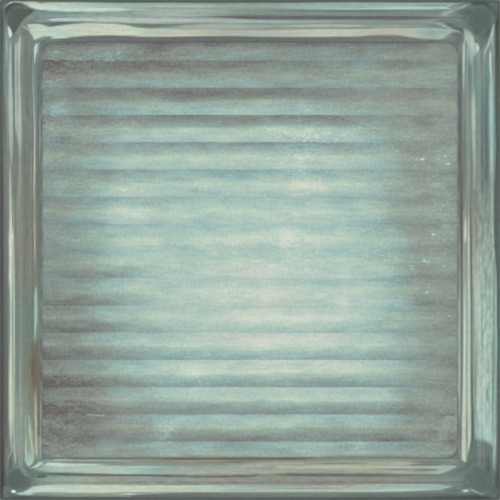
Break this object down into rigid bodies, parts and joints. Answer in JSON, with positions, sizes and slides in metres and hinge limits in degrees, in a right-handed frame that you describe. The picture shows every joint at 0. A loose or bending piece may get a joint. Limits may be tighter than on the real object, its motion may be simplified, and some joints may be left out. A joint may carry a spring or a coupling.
{
  "type": "ceramic wall tile",
  "caption": "Square glazed ceramic wall tile with a moulded glass-block frame round a sunk field of horizontal flutes and a keyed back for adhesive.",
  "frame": {"origin": "centre of the tile's flat back, on the plane that the adhesive meets", "axes": "+Z out of the glazed face, X along the flutes, +Y to the tile's top edge"},
  "size_m": [0.2, 0.2, 0.009],
  "materials": {
    "glaze": "glossy printed glaze in pale grey-green and mint over a white biscuit body"
  },
  "bodies": {
    "root": {"wall_tile": "glaze"}
  },
  "joints": []
}
